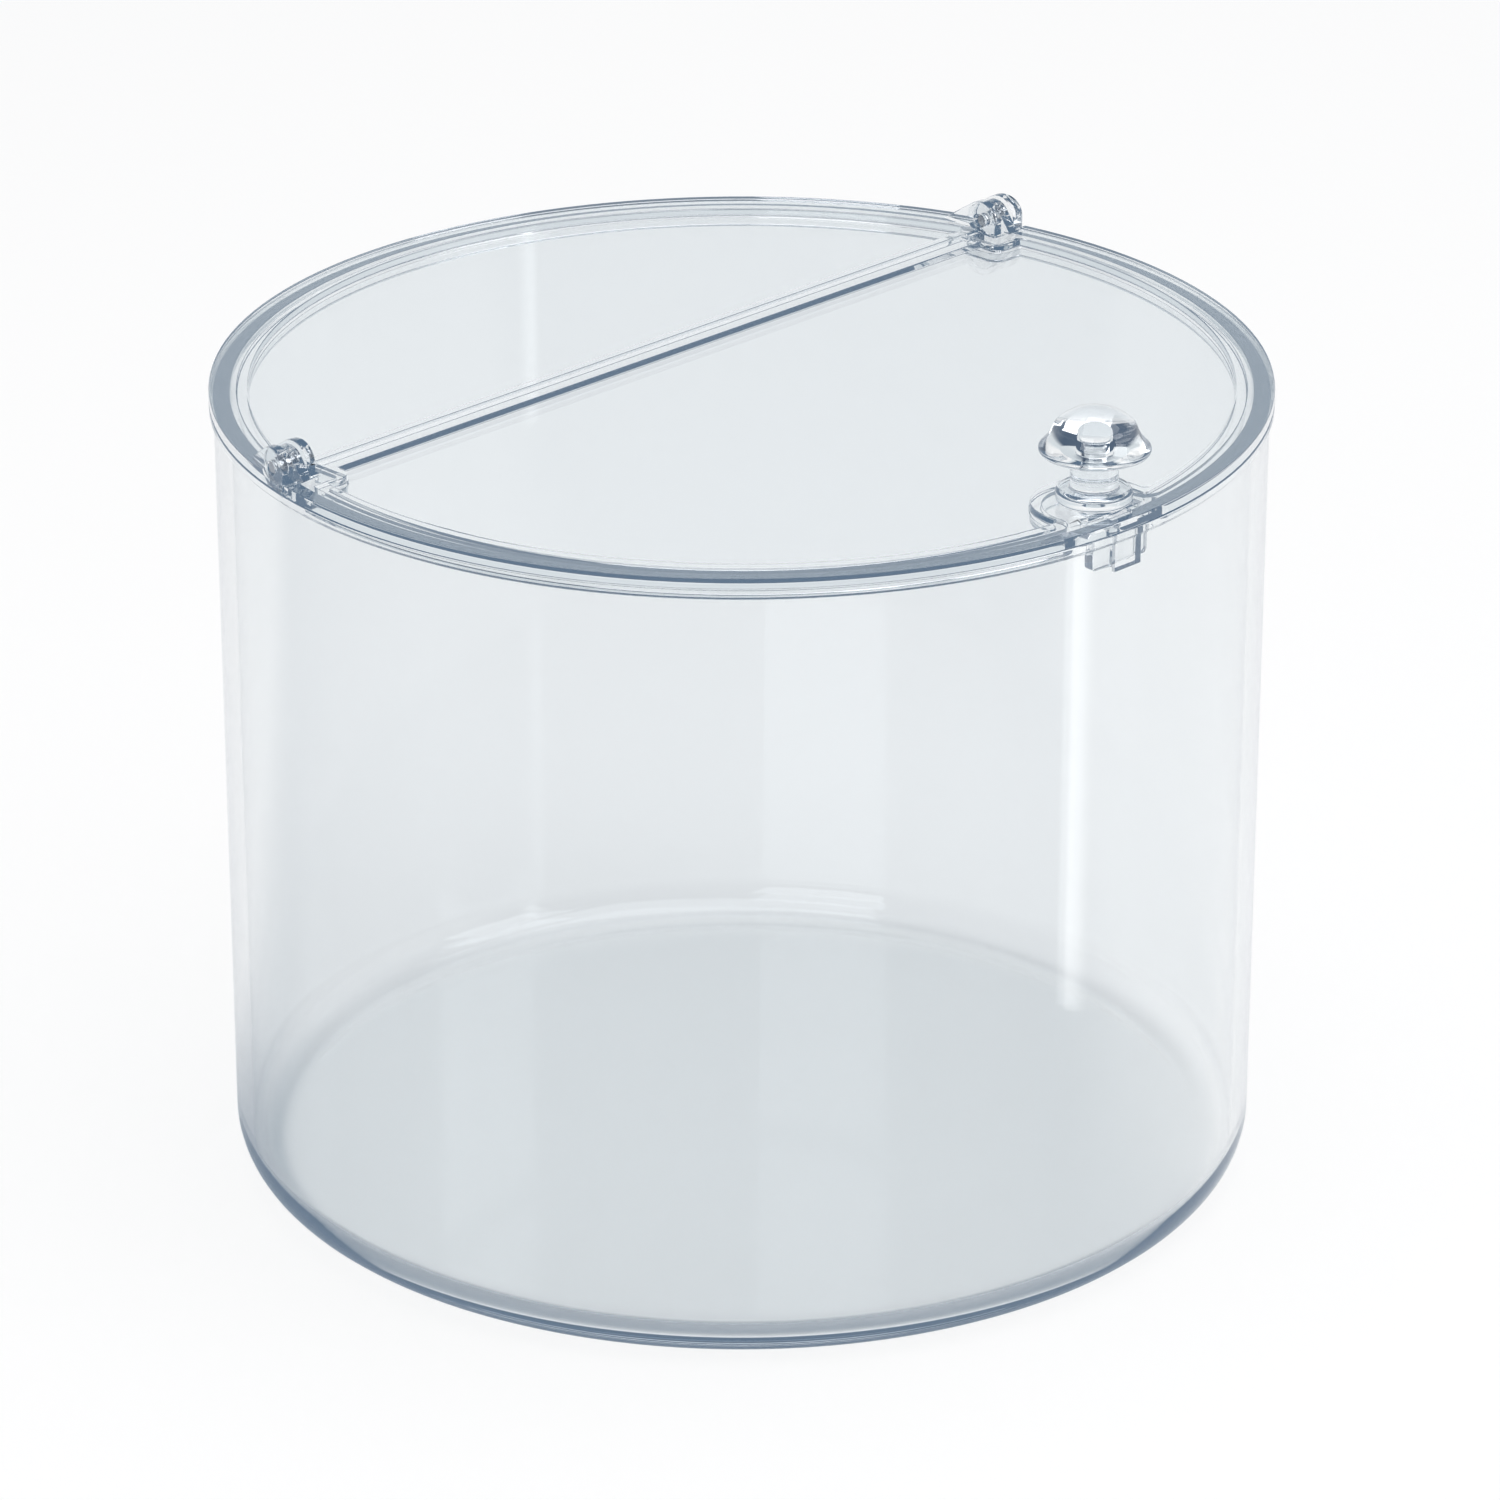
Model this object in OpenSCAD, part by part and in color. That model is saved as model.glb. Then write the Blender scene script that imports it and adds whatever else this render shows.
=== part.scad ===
// Round clear countertop bin with a split lid: the rear segment is fixed,
// the front flap swings up on two pin hinges at the ends of the split.
// Origin at the middle of the underside, +Z up, the knob towards -Y.

/* [Tub] */
// Outside diameter over the rim bead
rim_d = 190; // [150:1:230]
// Height of the tub without its lid
tub_h = 148; // [100:1:200]
// Thickness of the side wall at the mouth
wall_t = 3; // [2.5:0.1:3.4]
// Thickness of the floor
floor_t = 4; // [3:0.5:6]
// How far the outside wall leans in from rim to base, on each side
wall_draft = 0.5; // [0:0.1:1.5]
// Outside radius of the rounded base corner
base_corner_r = 9; // [6:0.5:14]
// Height of the rim bead
bead_h = 2.2; // [1.5:0.1:4]
// How far the rim bead stands out from the wall
bead_out = 0.8; // [0.3:0.1:1.5]

/* [Covers] */
// Thickness of the border that lies on the rim
border_t = 2; // [1.5:0.1:3]
// Thickness of the dished panels
panel_t = 2; // [1.5:0.1:2.5]
// Depth of the panels below the border
dish_depth = 1.2; // [0.6:0.1:1.6]
// Thickness of the plug wall that drops into the mouth
plug_wall_t = 2; // [1.5:0.1:3]
// How far the plug wall reaches below the border
plug_depth = 3; // [2.6:0.1:5]
// Radial play between the plug wall and the tub wall
plug_play = 1.2; // [1:0.1:2]
// Gap between the flap and the fixed cover
split_gap = 0.6; // [0.4:0.1:1.2]
// Width of the flap's border along the split
split_border_w = 4.3; // [3:0.1:5]
// Width of the rear cover's border along the split
cover_border_w = 2; // [1:0.1:4]
// Radius of the rear panel's corners at the split
cover_dish_r = 1.5; // [1:0.1:3]

/* [Hinges] */
// Distance of the hinge line behind the middle of the bin
hinge_back = 22.3; // [12:0.1:32]
// Height of the hinge line above the top of the border
hinge_rise = 1.7; // [1.5:0.1:2.5]
// Radius of the fixed ears
ear_r = 3.8; // [3.4:0.1:4.4]
// Width of an ear along the hinge line
ear_w = 2; // [1.6:0.1:3]
// Length of the ramp behind each ear
ear_ramp = 9.5; // [7:0.5:14]
// Radius of the flap's knuckles
knuckle_r = 3.3; // [2.8:0.1:3.4]
// Width of a knuckle along the hinge line
knuckle_w = 2.4; // [2:0.1:4]
// Length of the ramp in front of each knuckle
knuckle_ramp = 5.5; // [4.5:0.5:7]
// Side play between knuckles and ears
side_play = 0.3; // [0.3:0.1:0.6]
// Play between the ears and the notches round them
notch_play = 0.4; // [0.3:0.1:0.8]
// Diameter of the hinge pins
pin_d = 2.4; // [1.6:0.1:3]
// Running play of a pin in its knuckle, on the radius
pin_play = 0.05; // [0.03:0.01:0.1]
// How far the pin ends sit below the faces of the ears
pin_sink = 0.4; // [0:0.1:0.6]
// Chamfer at the pin ends
pin_chamfer = 0.3; // [0.1:0.1:0.5]
// Width of the flat pad beside each inner ear
pad_side = 2.6; // [2:0.1:4]
// Length of the flat pad in front of each hinge
pad_front = 2.7; // [2:0.1:4]
// Radius of the pad's corner
pad_corner_r = 1.2; // [0.5:0.1:2]

/* [Front tab] */
// Width of the tab that hangs inside the mouth
tab_w = 13.5; // [11:0.5:16]
// Thickness of the tab
tab_t = 1.9; // [1.5:0.1:2.2]
// How far the tab hangs below the border
tab_drop = 7.5; // [5:0.5:9]
// Play between the tab and the tub wall
tab_play = 0.9; // [0.8:0.1:1.2]
// Corner radius at the foot of the tab
tab_corner_r = 1; // [0.5:0.1:2]
// Width of the guide rib on the tab
rib_w = 5.6; // [4:0.1:8]
// How far the guide rib stands out of the tab
rib_out = 1.2; // [1:0.1:1.4]
// Play between the guide rib and its groove in the tub wall
rib_play = 0.4; // [0.3:0.1:0.6]
// Length of the slanted lead-in at the foot of the rib
rib_lead = 1; // [0.5:0.1:1.2]

/* [Knob] */
// Distance of the knob's axis in from the rim
knob_inset = 9.8; // [9.7:0.1:10.5]
// Diameter of the collar on the flap
collar_d = 13.4; // [11:0.1:16]
// Height of the collar
collar_h = 2.7; // [2:0.1:4]
// Radius of the collar's rounded edges
collar_round_r = 1; // [0.4:0.1:1]
// Diameter of the neck
neck_d = 8.4; // [7:0.1:10]
// Height of the neck above the collar
neck_h = 5.1; // [4:0.1:8]
// Diameter of the spigot that carries the cap
spigot_d = 4.4; // [3.5:0.1:5.5]
// Length of the spigot
spigot_h = 3.4; // [2.5:0.1:4]
// Play above the end of the spigot, for the glue
spigot_play = 0.2; // [0.1:0.1:0.4]
// Diameter of the cap over its brim
cap_d = 19.4; // [17:0.1:24]
// Height of the brim's middle above the top of the neck
brim_rise = 1.95; // [1.5:0.05:2.5]
// Radius of the brim's rounded edge
brim_r = 0.8; // [0.6:0.1:1]
// Angle above the horizontal at which the skirt leaves the brim
brim_angle = 35; // [20:1:50]
// Diameter at the kink between skirt and dome
kink_d = 14; // [12:0.1:15]
// Height of the skirt from the brim's middle to the kink
skirt_h = 4.45; // [3.5:0.1:6]
// Height of the dome above the kink
dome_h = 3; // [2:0.1:4]
// Radius of the hollow flare of the skirt
flare_r = 9; // [7:0.5:20]
// Diameter of the stud that passes through the flap
stud_d = 2.6; // [2:0.1:3]
// Diameter of the retainer ring on the stud
retainer_d = 5; // [4.4:0.1:5.2]
// Height of the retainer ring
retainer_h = 1.6; // [1:0.1:2]
// Chamfer at the foot of the retainer ring
retainer_chamfer = 0.4; // [0.2:0.1:0.8]
// How far the stud stands out of the retainer ring
stud_end = 0.4; // [0.2:0.1:0.6]
// Inside radius of the loop that the plug wall makes round the knob
loop_r = 9; // [8:0.1:11]
// Radius of the bends where the loop meets the rim
loop_neck_r = 3.2; // [2.8:0.1:4]

/* [Hidden] */
$fn = 96;
eps = 0.01;
past = 1;
reach = 400;

rim_r = rim_d / 2;
wall_r = rim_r - bead_out;
mouth_r = wall_r - wall_t;
base_r = wall_r - wall_draft;
inner_corner_r = base_corner_r - wall_t;
border_top = tub_h + border_t;
panel_top = border_top - dish_depth;
panel_floor = panel_top - panel_t;
plug_floor = tub_h - plug_depth;
plug_r = mouth_r - plug_play;

hinge_z = border_top + hinge_rise;
half_chord = sqrt(rim_r * rim_r - hinge_back * hinge_back);
outer_ear_x = half_chord - ear_w;
knuckle_out_x = outer_ear_x - side_play;
knuckle_in_x = knuckle_out_x - knuckle_w;
inner_ear_x = knuckle_in_x - side_play;
ear_in_x = inner_ear_x - ear_w;
ear_notch_y = hinge_back - ear_r - notch_play;
knuckle_notch_r = hinge_z - tub_h + notch_play;

flap_edge_y = hinge_back - split_gap / 2;
cover_edge_y = hinge_back + split_gap / 2;
pad_x = ear_in_x - pad_side;
pad_y = ear_notch_y - pad_front;

tab_out_r = mouth_r - tab_play;
tab_in_r = tab_out_r - tab_t;
rib_r = tab_out_r + rib_out;
groove_r = rib_r + tab_play;
tab_foot = tub_h - tab_drop;

knob_y = -(rim_r - knob_inset);
collar_top = border_top + collar_h;
neck_top = collar_top + neck_h;
brim_z = neck_top + brim_rise;
brim_x = cap_d / 2 - brim_r;
kink_z = brim_z + skirt_h;
dome_r = (kink_d * kink_d / 4 + dome_h * dome_h) / (2 * dome_h);
stud_foot = tub_h - retainer_h - stud_end;

clear_tint = [0.80, 0.88, 0.93, 0.45];
edge_tint = [0.62, 0.73, 0.82, 0.6];
steel_tint = [0.66, 0.68, 0.7];

// Point at a given radius and angle from a middle
function polar(middle, r, a) = [middle[0] + r * cos(a), middle[1] + r * sin(a)];
// Middle of an arc of radius r that runs from p to q and bulges to the left
function arc_middle(p, q, r) =
    let (mid = (p + q) / 2, d = q - p, l = norm(d), h = sqrt(r * r - l * l / 4))
    mid + [d[1], -d[0]] / l * h;
// Normal angle of the line through a foot that touches a circle at the origin
function tangent_angle(foot, r, side) =
    atan2(foot[1], foot[0]) + side * acos(r / norm(foot));
// Middle of a fillet inside a circle of radius big and outside a circle of
// radius small whose middle lies at distance d on the -Y axis
function neck_middle(big, small, d, r) =
    let (a = big - r, b = small + r, u = (a * a - b * b + d * d) / (2 * d))
    [sqrt(a * a - u * u), -u];

// Tub: one moulding with a beaded rim, a rounded base corner and a groove
module outer_profile() {
    difference() {
        union() {
            polygon([[0, 0], [base_r - base_corner_r, 0], [base_r, base_corner_r],
                     [wall_r, tub_h], [0, tub_h]]);
            translate([base_r - base_corner_r, base_corner_r])
                circle(r = base_corner_r);
            rim_bead_profile();
        }
        translate([-reach, -eps])
            square([reach, reach]);
    }
}

module rim_bead_profile() {
    bead_middle = tub_h - bead_h + bead_out;
    polygon([[wall_r - eps, tub_h - bead_h], [rim_r, bead_middle],
             [rim_r, tub_h], [wall_r - wall_t / 2, tub_h]]);
}

module inner_profile() {
    inner_base_r = base_r - wall_t;
    polygon([[0, floor_t], [inner_base_r - inner_corner_r, floor_t],
             [inner_base_r, floor_t + inner_corner_r],
             [mouth_r, tub_h + eps], [0, tub_h + eps]]);
    intersection() {
        translate([inner_base_r - inner_corner_r, floor_t + inner_corner_r])
            circle(r = inner_corner_r);
        square([reach, reach]);
    }
}

module guide_groove() {
    linear_extrude(tub_h)
        intersection() {
            circle(r = groove_r);
            translate([-rib_w / 2 - rib_play, -rim_r])
                square([rib_w + 2 * rib_play, rim_r / 2]);
        }
}

module tub() {
    color(clear_tint)
        difference() {
            rotate_extrude()
                outer_profile();
            rotate_extrude()
                inner_profile();
            translate([0, 0, tab_foot - rib_play])
                guide_groove();
        }
}

// Plan shapes shared by the two covers
module behind(y) {
    translate([-reach / 2, y])
        square([reach, reach]);
}

module before(y) {
    translate([-reach / 2, y - reach])
        square([reach, reach]);
}

// What a fillet of radius r takes off where a circle of radius big meets the
// loop of radius small round the knob
module neck_trim(big, small, r) {
    knob = [0, knob_y];
    c = neck_middle(big, small, -knob_y, r);
    cusp = neck_middle(big, small, -knob_y, 0);
    difference() {
        polygon([c, c * (big + past) / norm(c), cusp * (big + 2 * past) / big,
                 knob + (c - knob) * (small - past) / norm(c - knob)]);
        translate(c)
            circle(r = r + eps);
    }
}

module loop_cut(big, small, r) {
    translate([0, knob_y])
        circle(r = small);
    for (side = [0, 1])
        mirror([side, 0])
            neck_trim(big, small, r);
}

// Flat pad of the flap beside each hinge, with one rounded corner
module hinge_pads(grow) {
    r = pad_corner_r + grow;
    for (side = [0, 1])
        mirror([side, 0]) {
            translate([pad_x - grow, pad_y - grow + r])
                square([reach, reach]);
            translate([pad_x - grow + r, pad_y - grow])
                square([reach, reach]);
            translate([pad_x - grow + r, pad_y - grow + r])
                circle(r = r);
        }
}

module flap_plug_plan(inset, edge) {
    difference() {
        circle(r = plug_r - inset);
        behind(edge);
        hinge_pads(inset);
        loop_cut(plug_r - inset, loop_r + inset, loop_neck_r - inset);
    }
}

module flap_border_plan() {
    difference() {
        circle(r = rim_r);
        behind(flap_edge_y);
        for (side = [0, 1])
            mirror([side, 0]) {
                translate([ear_in_x - side_play, ear_notch_y])
                    square([ear_w + 2 * side_play, reach]);
                translate([knuckle_out_x, ear_notch_y])
                    square([reach, reach]);
            }
    }
}

module cover_plug_plan(inset, edge) {
    difference() {
        circle(r = plug_r - inset);
        before(edge);
    }
}

// Dish of the rear cover, with rounded corners where the arc meets the split
module cover_dish_plan() {
    edge = cover_edge_y + cover_border_w;
    big = plug_r - plug_wall_t;
    r = cover_dish_r;
    c = [sqrt((big - r) * (big - r) - (edge + r) * (edge + r)), edge + r];
    difference() {
        cover_plug_plan(plug_wall_t, edge);
        for (side = [0, 1])
            mirror([side, 0])
                difference() {
                    polygon([c, [c[0], edge - past], [big + past, edge - past],
                             c * (big + past) / norm(c)]);
                    translate(c)
                        circle(r = r + eps);
                }
    }
}

// Cover from four plans: border, plug, dish on top and recess below. The
// recess runs out at the split, so that only the arc keeps a plug wall.
module dished_cover() {
    difference() {
        union() {
            translate([0, 0, tub_h])
                linear_extrude(border_t)
                    children(0);
            translate([0, 0, plug_floor])
                linear_extrude(plug_depth + eps)
                    children(1);
        }
        translate([0, 0, panel_top])
            linear_extrude(border_t)
                children(2);
        translate([0, 0, plug_floor - past])
            linear_extrude(past + panel_floor - plug_floor)
                children(3);
    }
}

// Hinges: fixed ears with ramps on the cover, knuckles on the flap
module across(x0, x1) {
    translate([x0, hinge_back, hinge_z])
        rotate([90, 0, 90])
            linear_extrude(x1 - x0)
                children();
}

module ear_profile() {
    grip = ear_r - eps;
    foot = [ear_ramp, -hinge_rise];
    root = tub_h - hinge_z;
    intersection() {
        union() {
            circle(r = ear_r);
            polygon([[-grip, root - past], [-grip, 0], [0, 0],
                     polar([0, 0], grip, tangent_angle(foot, grip, 1)),
                     foot, [ear_ramp, root - past]]);
        }
        translate([-reach / 2, root])
            square([reach, reach]);
    }
}

module knuckle_profile() {
    grip = knuckle_r - eps;
    foot = [-knuckle_ramp, -hinge_rise];
    root = tub_h - hinge_z;
    heel = -sqrt(knuckle_notch_r * knuckle_notch_r - root * root);
    circle(r = knuckle_r);
    polygon([[0, 0], polar([0, 0], grip, tangent_angle(foot, grip, -1)), foot,
             [-knuckle_ramp, root], [heel, root]]);
}

module on_both_sides() {
    for (side = [0, 1])
        mirror([side, 0, 0])
            children();
}

module hinge_bore(d) {
    translate([0, hinge_back, hinge_z])
        rotate([0, 90, 0])
            cylinder(d = d, h = reach, center = true);
}

module hinge_ears() {
    on_both_sides() {
        across(ear_in_x, inner_ear_x)
            ear_profile();
        intersection() {
            across(outer_ear_x, rim_r + past)
                ear_profile();
            cylinder(r = rim_r, h = reach);
        }
    }
}

module knuckle_clearance() {
    on_both_sides()
        across(inner_ear_x, outer_ear_x)
            circle(r = knuckle_notch_r);
}

module rear_cover() {
    color(clear_tint)
        difference() {
            union() {
                difference() {
                    dished_cover() {
                        difference() {
                            circle(r = rim_r);
                            before(cover_edge_y);
                        }
                        cover_plug_plan(0, cover_edge_y);
                        cover_dish_plan();
                        cover_plug_plan(plug_wall_t, cover_edge_y - past);
                    }
                    knuckle_clearance();
                }
                hinge_ears();
            }
            hinge_bore(pin_d);
        }
}

// Tab under the front of the flap, with a rib that drops into the groove
module tab_front(w, foot_r) {
    translate([0, -rim_r / 2, tub_h + eps])
        rotate([90, 0, 0])
            linear_extrude(rim_r)
                union() {
                    translate([-w / 2, -tab_drop + foot_r])
                        square([w, tab_drop - foot_r]);
                    translate([-w / 2 + foot_r, -tab_drop])
                        square([w - 2 * foot_r, tab_drop]);
                    for (side = [-1, 1])
                        translate([side * (w / 2 - foot_r), -tab_drop + foot_r])
                            circle(r = foot_r);
                }
}

module ring_band(r_in, r_out) {
    translate([0, 0, tab_foot - past])
        difference() {
            cylinder(r = r_out, h = past + tab_drop + eps);
            translate([0, 0, -past])
                cylinder(r = r_in, h = tab_drop + 4 * past);
        }
}

module front_tab() {
    intersection() {
        ring_band(tab_in_r, tab_out_r);
        tab_front(tab_w, tab_corner_r);
    }
    intersection() {
        ring_band((tab_in_r + tab_out_r) / 2, rib_r);
        tab_front(rib_w, tab_corner_r);
        translate([0, 0, tab_foot])
            cylinder(r1 = rib_r - rib_lead, r2 = rib_r - rib_lead + tab_drop, h = tab_drop);
    }
}

module front_lid() {
    color(clear_tint)
        difference() {
            union() {
                dished_cover() {
                    flap_border_plan();
                    flap_plug_plan(0, flap_edge_y);
                    flap_plug_plan(plug_wall_t, flap_edge_y - split_border_w);
                    flap_plug_plan(plug_wall_t, flap_edge_y + past);
                }
                on_both_sides()
                    across(knuckle_in_x, knuckle_out_x)
                        knuckle_profile();
                front_tab();
            }
            hinge_bore(pin_d + 2 * pin_play);
            translate([0, knob_y, plug_floor])
                cylinder(d = stud_d, h = reach);
        }
}

module hinge_pin() {
    pin_in_x = ear_in_x + pin_sink;
    pin_out_x = half_chord - pin_sink;
    length = pin_out_x - pin_in_x;
    color(steel_tint)
        translate([pin_in_x, hinge_back, hinge_z])
            rotate([0, 90, 0]) {
                cylinder(d1 = pin_d - 2 * pin_chamfer, d2 = pin_d, h = pin_chamfer);
                translate([0, 0, pin_chamfer])
                    cylinder(d = pin_d, h = length - 2 * pin_chamfer);
                translate([0, 0, length - pin_chamfer])
                    cylinder(d1 = pin_d, d2 = pin_d - 2 * pin_chamfer, h = pin_chamfer);
            }
}

module hinge_pin_left() {
    mirror([1, 0, 0])
        hinge_pin();
}

module hinge_pin_right() {
    hinge_pin();
}

// Knob: mushroom cap on the spigot of a stem whose stud passes the flap
module on_knob_axis() {
    translate([0, knob_y, 0])
        rotate_extrude()
            children();
}

module cap_profile() {
    kink = [kink_d / 2, kink_z];
    brim_top = polar([brim_x, brim_z], brim_r, brim_angle);
    flare = arc_middle(brim_top, kink, flare_r);
    difference() {
        union() {
            polygon([[0, neck_top], [neck_d / 2, neck_top], [brim_x, brim_z - brim_r],
                     brim_top, kink, [0, kink_z]]);
            translate([brim_x, brim_z])
                circle(r = brim_r);
            intersection() {
                translate([0, kink_z + dome_h - dome_r])
                    circle(r = dome_r);
                translate([0, kink_z - eps])
                    square([reach, reach]);
            }
        }
        translate(flare)
            circle(r = flare_r);
        square([spigot_d / 2, neck_top + spigot_h + spigot_play]);
    }
}

module knob_cap() {
    color(clear_tint)
        on_knob_axis()
            cap_profile();
}

module knob_stem() {
    color(edge_tint)
        on_knob_axis() {
            translate([0, stud_foot])
                square([stud_d / 2, collar_top - stud_foot]);
            translate([0, border_top])
                square([collar_d / 2 - collar_round_r, collar_h]);
            translate([0, border_top + collar_round_r])
                square([collar_d / 2, collar_h - 2 * collar_round_r]);
            for (z = [border_top + collar_round_r, collar_top - collar_round_r])
                translate([collar_d / 2 - collar_round_r, z])
                    circle(r = collar_round_r);
            translate([0, collar_top - eps])
                square([neck_d / 2, neck_h + eps]);
            translate([0, neck_top - eps])
                square([spigot_d / 2, spigot_h + eps]);
        }
}

module knob_retainer() {
    foot = tub_h - retainer_h;
    out = retainer_d / 2;
    color(edge_tint)
        on_knob_axis()
            polygon([[stud_d / 2, foot], [out - retainer_chamfer, foot],
                     [out, foot + retainer_chamfer], [out, tub_h], [stud_d / 2, tub_h]]);
}

tub();
rear_cover();
front_lid();
hinge_pin_left();
hinge_pin_right();
knob_cap();
knob_stem();
knob_retainer();
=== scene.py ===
"""Looks of a clear round countertop bin with a split lid.

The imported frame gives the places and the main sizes. This script turns the tub,
the knob and the hinge pins finely, rounds the moulded edges of the two covers,
dresses every piece in its finish and sets up the studio. The pieces' own sizes
are in millimetres, and the studio's are in metres.
"""

import logging
import math
from dataclasses import dataclass, field
from enum import Enum

import bpy
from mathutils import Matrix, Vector


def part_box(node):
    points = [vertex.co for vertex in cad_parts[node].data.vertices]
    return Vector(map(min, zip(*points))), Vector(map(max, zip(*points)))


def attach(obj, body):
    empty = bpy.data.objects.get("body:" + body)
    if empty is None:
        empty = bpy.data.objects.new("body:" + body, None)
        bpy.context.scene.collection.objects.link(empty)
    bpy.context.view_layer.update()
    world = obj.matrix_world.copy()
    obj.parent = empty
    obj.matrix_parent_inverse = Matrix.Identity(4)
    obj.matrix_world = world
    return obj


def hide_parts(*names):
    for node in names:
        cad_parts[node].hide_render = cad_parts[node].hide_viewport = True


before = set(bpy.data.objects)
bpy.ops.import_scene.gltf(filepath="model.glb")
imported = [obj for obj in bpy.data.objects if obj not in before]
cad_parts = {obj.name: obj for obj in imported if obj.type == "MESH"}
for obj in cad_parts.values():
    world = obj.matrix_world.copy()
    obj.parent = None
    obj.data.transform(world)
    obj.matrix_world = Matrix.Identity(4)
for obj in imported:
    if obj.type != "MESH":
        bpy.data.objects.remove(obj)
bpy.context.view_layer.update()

log = logging.getLogger("bin")
MM = 0.001
TURNED_MERGE = 0.002  # points of a turned shell closer than this are one
CAD_MERGE = 0.004  # points of a CAD copy closer than this are one
FLAT_ANGLE = math.radians(0.5)  # CAD triangles flatter than this are one face
SHARP_ANGLE = math.radians(40)  # an edge sharper than this is rounded
EDGE_SEGMENTS = 2  # faces across a rounded edge
FLAT_WEIGHT = 100  # how strongly broad faces pull the shading normals
Point = tuple[float, float]
Colour = tuple[float, float, float, float]
Ramp = tuple[tuple[float, Colour], ...]
WHITE: Colour = (1, 1, 1, 1)


class Body(Enum):
    """The moving bodies of the frame."""

    BIN = "bin"
    LID = "lid"


class Slot(Enum):
    """The record's material slots."""

    TUB = "tub"
    REAR_COVER = "rear_cover"
    FRONT_LID = "front_lid"
    HINGE_PINS = "hinge_pins"
    KNOB = "knob"


class Direction(Enum):
    """The two axes that something is turned about."""

    UP = "up"
    ACROSS = "across"


def select_only(*objects: bpy.types.Object) -> None:
    """Selects these objects alone and makes the first one active.

    Args:
        objects: what the next operator acts on.
    """
    bpy.ops.object.select_all(action="DESELECT")
    for chosen in objects:
        chosen.select_set(True)
    bpy.context.view_layer.objects.active = objects[0]


def apply_modifiers(piece: bpy.types.Object) -> None:
    """Applies every modifier of a piece in order.

    Args:
        piece: the object whose modifiers become its mesh.
    """
    select_only(piece)
    for name in [modifier.name for modifier in piece.modifiers]:
        bpy.ops.object.modifier_apply(modifier=name)


@dataclass(frozen=True)
class Corner:
    """One corner of a turned profile, in millimetres."""

    r: float
    z: float
    fillet: float = 0.0


@dataclass
class Profile:
    """An open outline of corners, each rounded by its own fillet."""

    corners: list[Corner]
    arc_step: float = math.radians(9)
    straight: float = math.radians(89)

    def _rounded(self, before: Corner, corner: Corner, after: Corner) -> list[Point]:
        """Gives the points of one rounded corner.

        Args:
            before: the corner before it.
            corner: the corner itself.
            after: the corner after it.

        Returns:
            The points of the fillet's arc, or the corner alone.
        """
        p = Vector((corner.r, corner.z))
        u = (Vector((before.r, before.z)) - p).normalized()
        v = (Vector((after.r, after.z)) - p).normalized()
        half = math.acos(max(-1.0, min(1.0, u.dot(v)))) / 2
        if corner.fillet == 0 or half > self.straight:
            return [(corner.r, corner.z)]
        middle = p + (u + v).normalized() * (corner.fillet / math.sin(half))
        start = p + u * (corner.fillet / math.tan(half)) - middle
        end = p + v * (corner.fillet / math.tan(half)) - middle
        sweep = start.angle_signed(end)
        count = max(2, math.ceil(abs(sweep) / self.arc_step))
        points = []
        for i in range(count + 1):
            turn = -sweep * i / count
            x = start.x * math.cos(turn) - start.y * math.sin(turn)
            y = start.x * math.sin(turn) + start.y * math.cos(turn)
            points.append((middle.x + x, middle.y + y))
        return points

    def points(self) -> list[Point]:
        """Rounds every corner.

        Returns:
            The whole outline, from its first corner to its last.
        """
        outline = [(self.corners[0].r, self.corners[0].z)]
        for before, corner, after in zip(self.corners, self.corners[1:], self.corners[2:]):
            outline += self._rounded(before, corner, after)
        outline.append((self.corners[-1].r, self.corners[-1].z))
        return outline


def arc(middle: Point, radius: float, start: float, end: float, count: int) -> list[Point]:
    """Gives points along an arc.

    Args:
        middle: the arc's middle, in millimetres.
        radius: its radius.
        start: its first angle, in radians.
        end: its last angle.
        count: how many stretches it has.

    Returns:
        The arc's points, both ends among them.
    """
    steps = [start + (end - start) * i / count for i in range(count + 1)]
    return [(middle[0] + radius * math.cos(a), middle[1] + radius * math.sin(a)) for a in steps]


def turned(
    name: str, outline: list[Point], at: Vector, steps: int, about: Direction
) -> bpy.types.Object:
    """Spins an outline into a closed shell.

    Args:
        name: the new object's name.
        outline: points of radius and height along the axis, in millimetres.
        at: the foot of the axis, in metres.
        steps: how many faces go round.
        about: the axis, upright or across.

    Returns:
        The shell, its place in its mesh and its faces pointing outwards.
    """
    across = about is Direction.ACROSS

    def place(point: Point) -> Vector:
        """Turns a point of the outline into a place in the scene."""
        r, h = point[0] * MM, point[1] * MM
        return at + (Vector((h, r, 0)) if across else Vector((r, 0, h)))

    bpy.ops.object.select_all(action="DESELECT")
    bpy.ops.mesh.primitive_plane_add(size=MM, location=place(outline[0]))
    piece = bpy.context.object
    piece.name = name
    bpy.ops.object.transform_apply(location=True, rotation=True, scale=True)
    bpy.ops.object.mode_set(mode="EDIT")
    bpy.ops.mesh.select_all(action="SELECT")
    bpy.ops.mesh.merge(type="CENTER")
    for last, following in zip(outline, outline[1:]):
        move = place(following) - place(last)
        bpy.ops.mesh.extrude_region_move(TRANSFORM_OT_translate={"value": move})
    bpy.ops.mesh.select_all(action="SELECT")
    axis = (1, 0, 0) if across else (0, 0, 1)
    bpy.ops.mesh.spin(steps=steps, angle=math.tau, center=at, axis=axis)
    bpy.ops.mesh.select_all(action="SELECT")
    bpy.ops.mesh.remove_doubles(threshold=TURNED_MERGE * MM)
    bpy.ops.mesh.normals_make_consistent(inside=False)
    bpy.ops.object.mode_set(mode="OBJECT")
    return piece


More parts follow.
